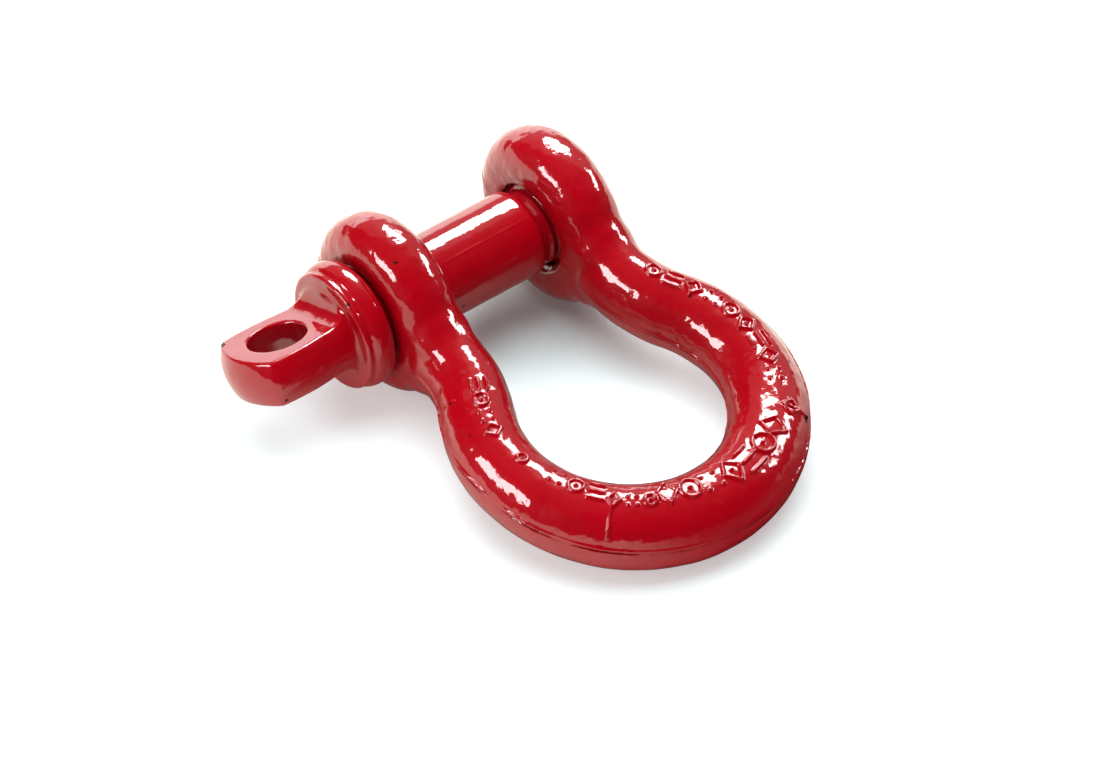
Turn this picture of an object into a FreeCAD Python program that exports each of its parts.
import FreeCAD, Part
import math
import os

# Screw-pin anchor shackle, nominal size 3/4 inch. All lengths are millimetres.
# The origin is the middle of the pin's axis, halfway between the two ears.
# +X runs along the pin from its eye to its thread, and +Z is up.
# The shackle lies on level ground with its crown towards -Y: the rims of both
# ears and the underside of the crown touch the ground.

# Bow: two ears, two legs and a round crown, forged in one piece.
JAW_GAP = 33.4
EAR_THICKNESS = 16.2
EAR_RADIUS = 22.9
EAR_RIM_RADIUS = 7.5
EAR_BLEND_RADIUS = 4.0
CROWN_ARC_RADIUS = 34.6
CROWN_ARC_OFFSET = 58.7
NECK_ARC_RADIUS = 33.0
CROWN_BAR_WIDTH = 20.9
CROWN_BAR_HEIGHT = 21.0
SIDE_BAR_WIDTH = 19.0
SIDE_BAR_HEIGHT = 19.6
NECK_BAR_WIDTH = 17.4
NECK_BAR_HEIGHT = 20.6
EAR_ROOT_WIDTH = 15.4
EAR_ROOT_HEIGHT = 23.0

# Where those bar sizes apply, as a part of the way from the pin to the crown.
NECK_PART = 0.22
SIDE_PART = 0.5

# Pin: one forging with a flat eye, a collar, a shank and a thread.
SHANK_RADIUS = 11.1
SHANK_END = 13.0
SHOULDER_RADIUS = 1.6
PIN_END = 34.8
COLLAR_GAP = 1.3
FLANGE_RADIUS = 16.2
FLANGE_EDGE_RADIUS = 15.3
FLANGE_WIDTH = 6.0
BEAD_RADIUS = 15.1
BEAD_WIDTH = 1.9
GROOVE_DEPTH = 0.5
COLLAR_CORNER = 0.7
NECK_RADIUS = 11.7
NECK_START = -49.0
NECK_RAMP_RADIUS = 5.0
NECK_RAMP_OVERLAP = 0.3
EYE_THICKNESS = 11.7
EYE_END = -70.3
EYE_END_ARC_RADIUS = 20.0
EYE_END_HALF_WIDTH = 12.3
EYE_MIDDLE_X = -58.5
EYE_MIDDLE_HALF_WIDTH = 13.0
EYE_ROOT_X = -46.0
EYE_ROOT_HALF_WIDTH = 11.2
EYE_CORNER_RADIUS = 3.0
EYE_EDGE_RADIUS = 1.5
EYE_HOLE_X = -56.3
EYE_HOLE_RADIUS = 7.3
EYE_HOLE_CHAMFER = 0.5
EYE_TURN_DEGREES = -22.4

# Holes in the ears, and the thread. The ridges of the thread are rings, and
# they pass through the tapped hole with THREAD_CLEARANCE all round.
CLEAR_HOLE_RADIUS = 12.0
HOLE_EDGE_CHAMFER = 0.9
THREAD_CREST_RADIUS = 10.65
THREAD_CLEARANCE = 0.25
THREAD_DEPTH = 1.25
THREAD_PITCH = 2.82
THREAD_CREST_WIDTH = 0.7
THREAD_FLANK_DEGREES = 30.0
THREAD_START = 17.2
THREAD_TURNS = 6
TAPPED_GROOVE_DEPTH = 0.9
TAPPED_TURNS = 5

# Worked out from the driving dimensions.
EAR_INNER = JAW_GAP / 2
EAR_OUTER = EAR_INNER + EAR_THICKNESS
EAR_CENTRE = EAR_INNER + EAR_THICKNESS / 2
CROWN_REACH = CROWN_ARC_OFFSET + CROWN_ARC_RADIUS
LIE_DEGREES = math.degrees(math.asin((EAR_RADIUS - CROWN_BAR_HEIGHT / 2) / CROWN_REACH))
TAPPED_HOLE_RADIUS = THREAD_CREST_RADIUS + THREAD_CLEARANCE
THREAD_ROOT_RADIUS = THREAD_CREST_RADIUS - THREAD_DEPTH
FLANK_SLOPE = math.tan(math.radians(THREAD_FLANK_DEGREES))
COLLAR_FACE = -EAR_OUTER - COLLAR_GAP
FLANGE_END = COLLAR_FACE - FLANGE_WIDTH
BEAD_END = FLANGE_END - BEAD_WIDTH
INSIDE_BEAD = BEAD_END + BEAD_WIDTH / 2

# Sections of the bow's bar on each stretch of its centreline.
LEG_STATIONS = 5
NECK_STATIONS = 5
CROWN_STATIONS = 8

# Cutters run past a face by this much.
OVERRUN = 1.0

ORIGIN = FreeCAD.Vector(0, 0, 0)
PIN_AXIS = FreeCAD.Vector(1, 0, 0)
UP = FreeCAD.Vector(0, 0, 1)


def outline(start, moves):
    """Closed face in the X-Y plane.

    A move is a point (x, y) for a straight line to it, or a pair of points
    (through, end) for an arc.
    """
    edges = []
    here = FreeCAD.Vector(*start, 0)
    for move in moves:
        if isinstance(move[0], tuple):
            through = FreeCAD.Vector(*move[0], 0)
            there = FreeCAD.Vector(*move[1], 0)
            edges.append(Part.Arc(here, through, there).toShape())
        else:
            there = FreeCAD.Vector(*move, 0)
            edges.append(Part.LineSegment(here, there).toShape())
        here = there
    edges.append(Part.LineSegment(here, FreeCAD.Vector(*start, 0)).toShape())
    return Part.Face(Part.Wire(edges))


def corner(centre_x, centre_y, radius, start_degrees, end_degrees):
    """Arc move round a centre, from one angle to another."""
    points = []
    for degrees in ((start_degrees + end_degrees) / 2, end_degrees):
        angle = math.radians(degrees)
        points.append((centre_x + radius * math.cos(angle), centre_y + radius * math.sin(angle)))
    return tuple(points)


def turned(start, moves):
    """Solid turned about the pin's axis from an outline of (x, radius) points."""
    return outline(start, moves).revolve(ORIGIN, PIN_AXIS, 360)


def centreline():
    """Half of the bow's centreline, from the pin's axis to the crown.

    Each point is (x, reach, heading): its place across the bow, its distance
    from the pin's axis towards the crown, and its direction of travel as an
    angle from +X in the (x, reach) plane.
    """
    neck_centre_x = EAR_CENTRE + NECK_ARC_RADIUS
    centre_distance = CROWN_ARC_RADIUS + NECK_ARC_RADIUS
    rise = math.sqrt(centre_distance**2 - neck_centre_x**2)
    neck_start = CROWN_ARC_OFFSET - rise
    neck_turn = math.atan2(rise, neck_centre_x)
    points = []
    for step in range(LEG_STATIONS):
        points.append((EAR_CENTRE, neck_start * step / LEG_STATIONS, math.pi / 2))
    for step in range(NECK_STATIONS):
        turn = neck_turn * step / NECK_STATIONS
        x = neck_centre_x - NECK_ARC_RADIUS * math.cos(turn)
        reach = neck_start + NECK_ARC_RADIUS * math.sin(turn)
        points.append((x, reach, math.pi / 2 - turn))
    for step in range(CROWN_STATIONS + 1):
        angle = -neck_turn + (math.pi / 2 + neck_turn) * step / CROWN_STATIONS
        x = CROWN_ARC_RADIUS * math.cos(angle)
        reach = CROWN_ARC_OFFSET + CROWN_ARC_RADIUS * math.sin(angle)
        points.append((x, reach, angle + math.pi / 2))
    return points


def travelled(points):
    """Part of the way from the pin to the crown at each centreline point."""
    lengths = [0.0]
    for near, far in zip(points, points[1:]):
        lengths.append(lengths[-1] + math.hypot(far[0] - near[0], far[1] - near[1]))
    return [length / lengths[-1] for length in lengths]


def between(value, stops):
    """Smooth interpolation in a list of (position, size) stops."""
    for (start, first), (end, last) in zip(stops, stops[1:]):
        if value <= end:
            part = (value - start) / (end - start)
            eased = part * part * (3 - 2 * part)
            return first + (last - first) * eased
    return stops[-1][1]


def bar_section(x, reach, heading, width, height):
    """Elliptical wire square to the bar, always taller than it is wide."""
    across = FreeCAD.Vector(math.sin(heading), math.cos(heading), 0)
    centre = FreeCAD.Vector(x, -reach, 0)
    ellipse = Part.Ellipse(centre + UP * (height / 2), centre - across * (width / 2), centre)
    return Part.Wire(ellipse.toShape())


def bow_bar():
    """Bar of the bow, lofted from one ear round the crown to the other."""
    widths = [(0, EAR_ROOT_WIDTH), (NECK_PART, NECK_BAR_WIDTH),
              (SIDE_PART, SIDE_BAR_WIDTH), (1, CROWN_BAR_WIDTH)]
    heights = [(0, EAR_ROOT_HEIGHT), (NECK_PART, NECK_BAR_HEIGHT),
               (SIDE_PART, SIDE_BAR_HEIGHT), (1, CROWN_BAR_HEIGHT)]
    half = centreline()
    sections = []
    mirrored = []
    for (x, reach, heading), part in zip(half, travelled(half)):
        width = between(part, widths)
        height = between(part, heights)
        sections.append(bar_section(x, reach, heading, width, height))
        mirrored.append(bar_section(-x, reach, -heading, width, height))
    sections.extend(reversed(mirrored[:-1]))
    return Part.makeLoft(sections, True, False)


def ear(low, high):
    """Thick disc with a rounded rim round the pin's axis, between two faces."""
    rim = EAR_RIM_RADIUS
    moves = [(low, EAR_RADIUS - rim),
             corner(low + rim, EAR_RADIUS - rim, rim, 180, 90),
             (high - rim, EAR_RADIUS),
             corner(high - rim, EAR_RADIUS - rim, rim, 90, 0),
             (high, 0)]
    return turned((low, 0), moves)


def ear_root_edges(body):
    """Edges where the legs run into the ears."""
    root_end = -EAR_RADIUS * 0.4
    return [edge for edge in body.Edges
            if edge.BoundBox.YMin > -EAR_RADIUS and edge.BoundBox.YMax < root_end]


def ridge_middle(turn):
    """Middle of one ridge of the thread, as a place along the pin's axis."""
    return THREAD_START + THREAD_PITCH * (turn + 0.5)


def ridge_moves(turn, base_radius, height):
    """Outline of one ridge, or of the groove that faces it, standing on a base."""
    middle = ridge_middle(turn)
    crest = THREAD_CREST_WIDTH / 2
    foot = crest + height * FLANK_SLOPE
    top_radius = base_radius + height
    return [(middle - foot, base_radius), (middle - crest, top_radius),
            (middle + crest, top_radius), (middle + foot, base_radius)]


def hole_cutter(low, high, radius, groove_turns):
    """Cutter for an ear's hole, countersunk at both faces, with ring grooves."""
    flare = radius + HOLE_EDGE_CHAMFER
    moves = [(low - OVERRUN, flare), (low, flare), (low + HOLE_EDGE_CHAMFER, radius)]
    for turn in range(groove_turns):
        moves.extend(ridge_moves(turn, radius, TAPPED_GROOVE_DEPTH))
    moves.append((high - HOLE_EDGE_CHAMFER, radius))
    moves.append((high, flare))
    moves.append((high + OVERRUN, flare))
    moves.append((high + OVERRUN, 0))
    return turned((low - OVERRUN, 0), moves)


def bow():
    """The bow as it lies: bar and ears joined, blended and bored."""
    body = bow_bar().fuse([ear(-EAR_OUTER, -EAR_INNER), ear(EAR_INNER, EAR_OUTER)])
    body = body.removeSplitter()
    body = body.makeFillet(EAR_BLEND_RADIUS, ear_root_edges(body))
    clear_hole = hole_cutter(-EAR_OUTER, -EAR_INNER, CLEAR_HOLE_RADIUS, 0)
    tapped_hole = hole_cutter(EAR_INNER, EAR_OUTER, TAPPED_HOLE_RADIUS, TAPPED_TURNS)
    body = body.cut([clear_hole, tapped_hole])
    body.rotate(ORIGIN, PIN_AXIS, LIE_DEGREES)
    return body


def collar_moves():
    """Outline from the face of the bead over the bead and flange."""
    groove_middle = (FLANGE_END - 2 * GROOVE_DEPTH, BEAD_RADIUS)
    flange_middle = (FLANGE_END + FLANGE_WIDTH / 2, FLANGE_RADIUS)
    edge = COLLAR_CORNER
    return [(BEAD_END, BEAD_RADIUS - edge),
            corner(BEAD_END + edge, BEAD_RADIUS - edge, edge, 180, 90),
            groove_middle,
            (FLANGE_END, BEAD_RADIUS - GROOVE_DEPTH),
            (FLANGE_END, FLANGE_EDGE_RADIUS),
            (flange_middle, (COLLAR_FACE - edge, FLANGE_EDGE_RADIUS)),
            (COLLAR_FACE, FLANGE_EDGE_RADIUS - edge)]


def shank_and_thread_moves():
    """Outline of the shank, its shoulder, the ridges and the end of the pin."""
    relief_radius = SHANK_RADIUS - SHOULDER_RADIUS
    end_chamfer = THREAD_DEPTH / 2
    moves = [(COLLAR_FACE, SHANK_RADIUS),
             (SHANK_END, SHANK_RADIUS),
             corner(SHANK_END, relief_radius, SHOULDER_RADIUS, 90, 0),
             (SHANK_END + SHOULDER_RADIUS, THREAD_ROOT_RADIUS)]
    for turn in range(THREAD_TURNS):
        moves.extend(ridge_moves(turn, THREAD_ROOT_RADIUS, THREAD_DEPTH))
    moves.append((PIN_END - end_chamfer, THREAD_ROOT_RADIUS))
    moves.append((PIN_END, THREAD_ROOT_RADIUS - end_chamfer))
    moves.append((PIN_END, 0))
    return moves


def neck():
    """Round neck, with a hollow ramp above and below down to the eye's level faces."""
    half = EYE_THICKNESS / 2
    ramp_top = half + NECK_RAMP_RADIUS
    middle = BEAD_END + NECK_RAMP_OVERLAP - NECK_RAMP_RADIUS
    moves = [(middle, half),
             corner(middle, ramp_top, NECK_RAMP_RADIUS, -90, 0),
             (INSIDE_BEAD, ramp_top),
             (INSIDE_BEAD, -ramp_top),
             (middle + NECK_RAMP_RADIUS, -ramp_top),
             corner(middle, -ramp_top, NECK_RAMP_RADIUS, 0, 90),
             (NECK_START, -half)]
    slab = outline((NECK_START, half), moves).extrude(UP * (2 * NECK_RADIUS))
    slab.translate(UP * (-NECK_RADIUS))
    slab.rotate(ORIGIN, PIN_AXIS, 90)
    start = FreeCAD.Vector(NECK_START, 0, 0)
    return slab.common(Part.makeCylinder(NECK_RADIUS, INSIDE_BEAD - NECK_START, start, PIN_AXIS))


def eye_plate():
    """Flat eye: level faces, bulging sides and a rounded end."""
    sag = EYE_END_ARC_RADIUS - math.sqrt(EYE_END_ARC_RADIUS**2 - EYE_END_HALF_WIDTH**2)
    end_x = EYE_END + sag
    moves = [(EYE_ROOT_X, -EYE_ROOT_HALF_WIDTH),
             ((EYE_MIDDLE_X, -EYE_MIDDLE_HALF_WIDTH), (end_x, -EYE_END_HALF_WIDTH)),
             ((EYE_END, 0), (end_x, EYE_END_HALF_WIDTH)),
             ((EYE_MIDDLE_X, EYE_MIDDLE_HALF_WIDTH), (EYE_ROOT_X, EYE_ROOT_HALF_WIDTH)),
             (INSIDE_BEAD, EYE_ROOT_HALF_WIDTH)]
    plate = outline((INSIDE_BEAD, -EYE_ROOT_HALF_WIDTH), moves).extrude(UP * EYE_THICKNESS)
    plate.translate(UP * (-EYE_THICKNESS / 2))
    corners = [edge for edge in plate.Edges
               if edge.BoundBox.ZLength > EYE_THICKNESS / 2 and edge.BoundBox.XMax < EYE_MIDDLE_X]
    plate = plate.makeFillet(EYE_CORNER_RADIUS, corners)
    rims = [edge for edge in plate.Edges
            if edge.BoundBox.ZLength < EYE_THICKNESS / 2 and edge.BoundBox.XMin < NECK_START]
    return plate.makeFillet(EYE_EDGE_RADIUS, rims)


def eye_hole_cutter():
    """Cutter for the hole through the eye, chamfered at both faces."""
    half = EYE_THICKNESS / 2
    flare = EYE_HOLE_RADIUS + EYE_HOLE_CHAMFER
    wall_end = half - EYE_HOLE_CHAMFER
    profile = [(0, -half - OVERRUN), (flare, -half - OVERRUN), (flare, -half),
               (EYE_HOLE_RADIUS, -wall_end), (EYE_HOLE_RADIUS, wall_end),
               (flare, half), (flare, half + OVERRUN), (0, half + OVERRUN)]
    points = [FreeCAD.Vector(radius, 0, z) for radius, z in profile]
    cutter = Part.Face(Part.makePolygon(points + points[:1])).revolve(ORIGIN, UP, 360)
    cutter.translate(PIN_AXIS * EYE_HOLE_X)
    return cutter


def screw_pin():
    """The pin, screwed home, with its eye turned about the pin's axis."""
    moves = collar_moves() + shank_and_thread_moves()
    body = turned((BEAD_END, 0), moves).fuse([neck(), eye_plate()]).removeSplitter()
    body = body.cut(eye_hole_cutter())
    body.rotate(ORIGIN, PIN_AXIS, EYE_TURN_DEGREES)
    return body


os.makedirs("parts", exist_ok=True)
for name, body in (("bow", bow()), ("screw_pin", screw_pin())):
    body.Solids[0].exportStep("parts/" + name + ".step")
    print(name, "valid:", body.isValid(), "solids:", len(body.Solids), "mm3:", round(body.Volume))
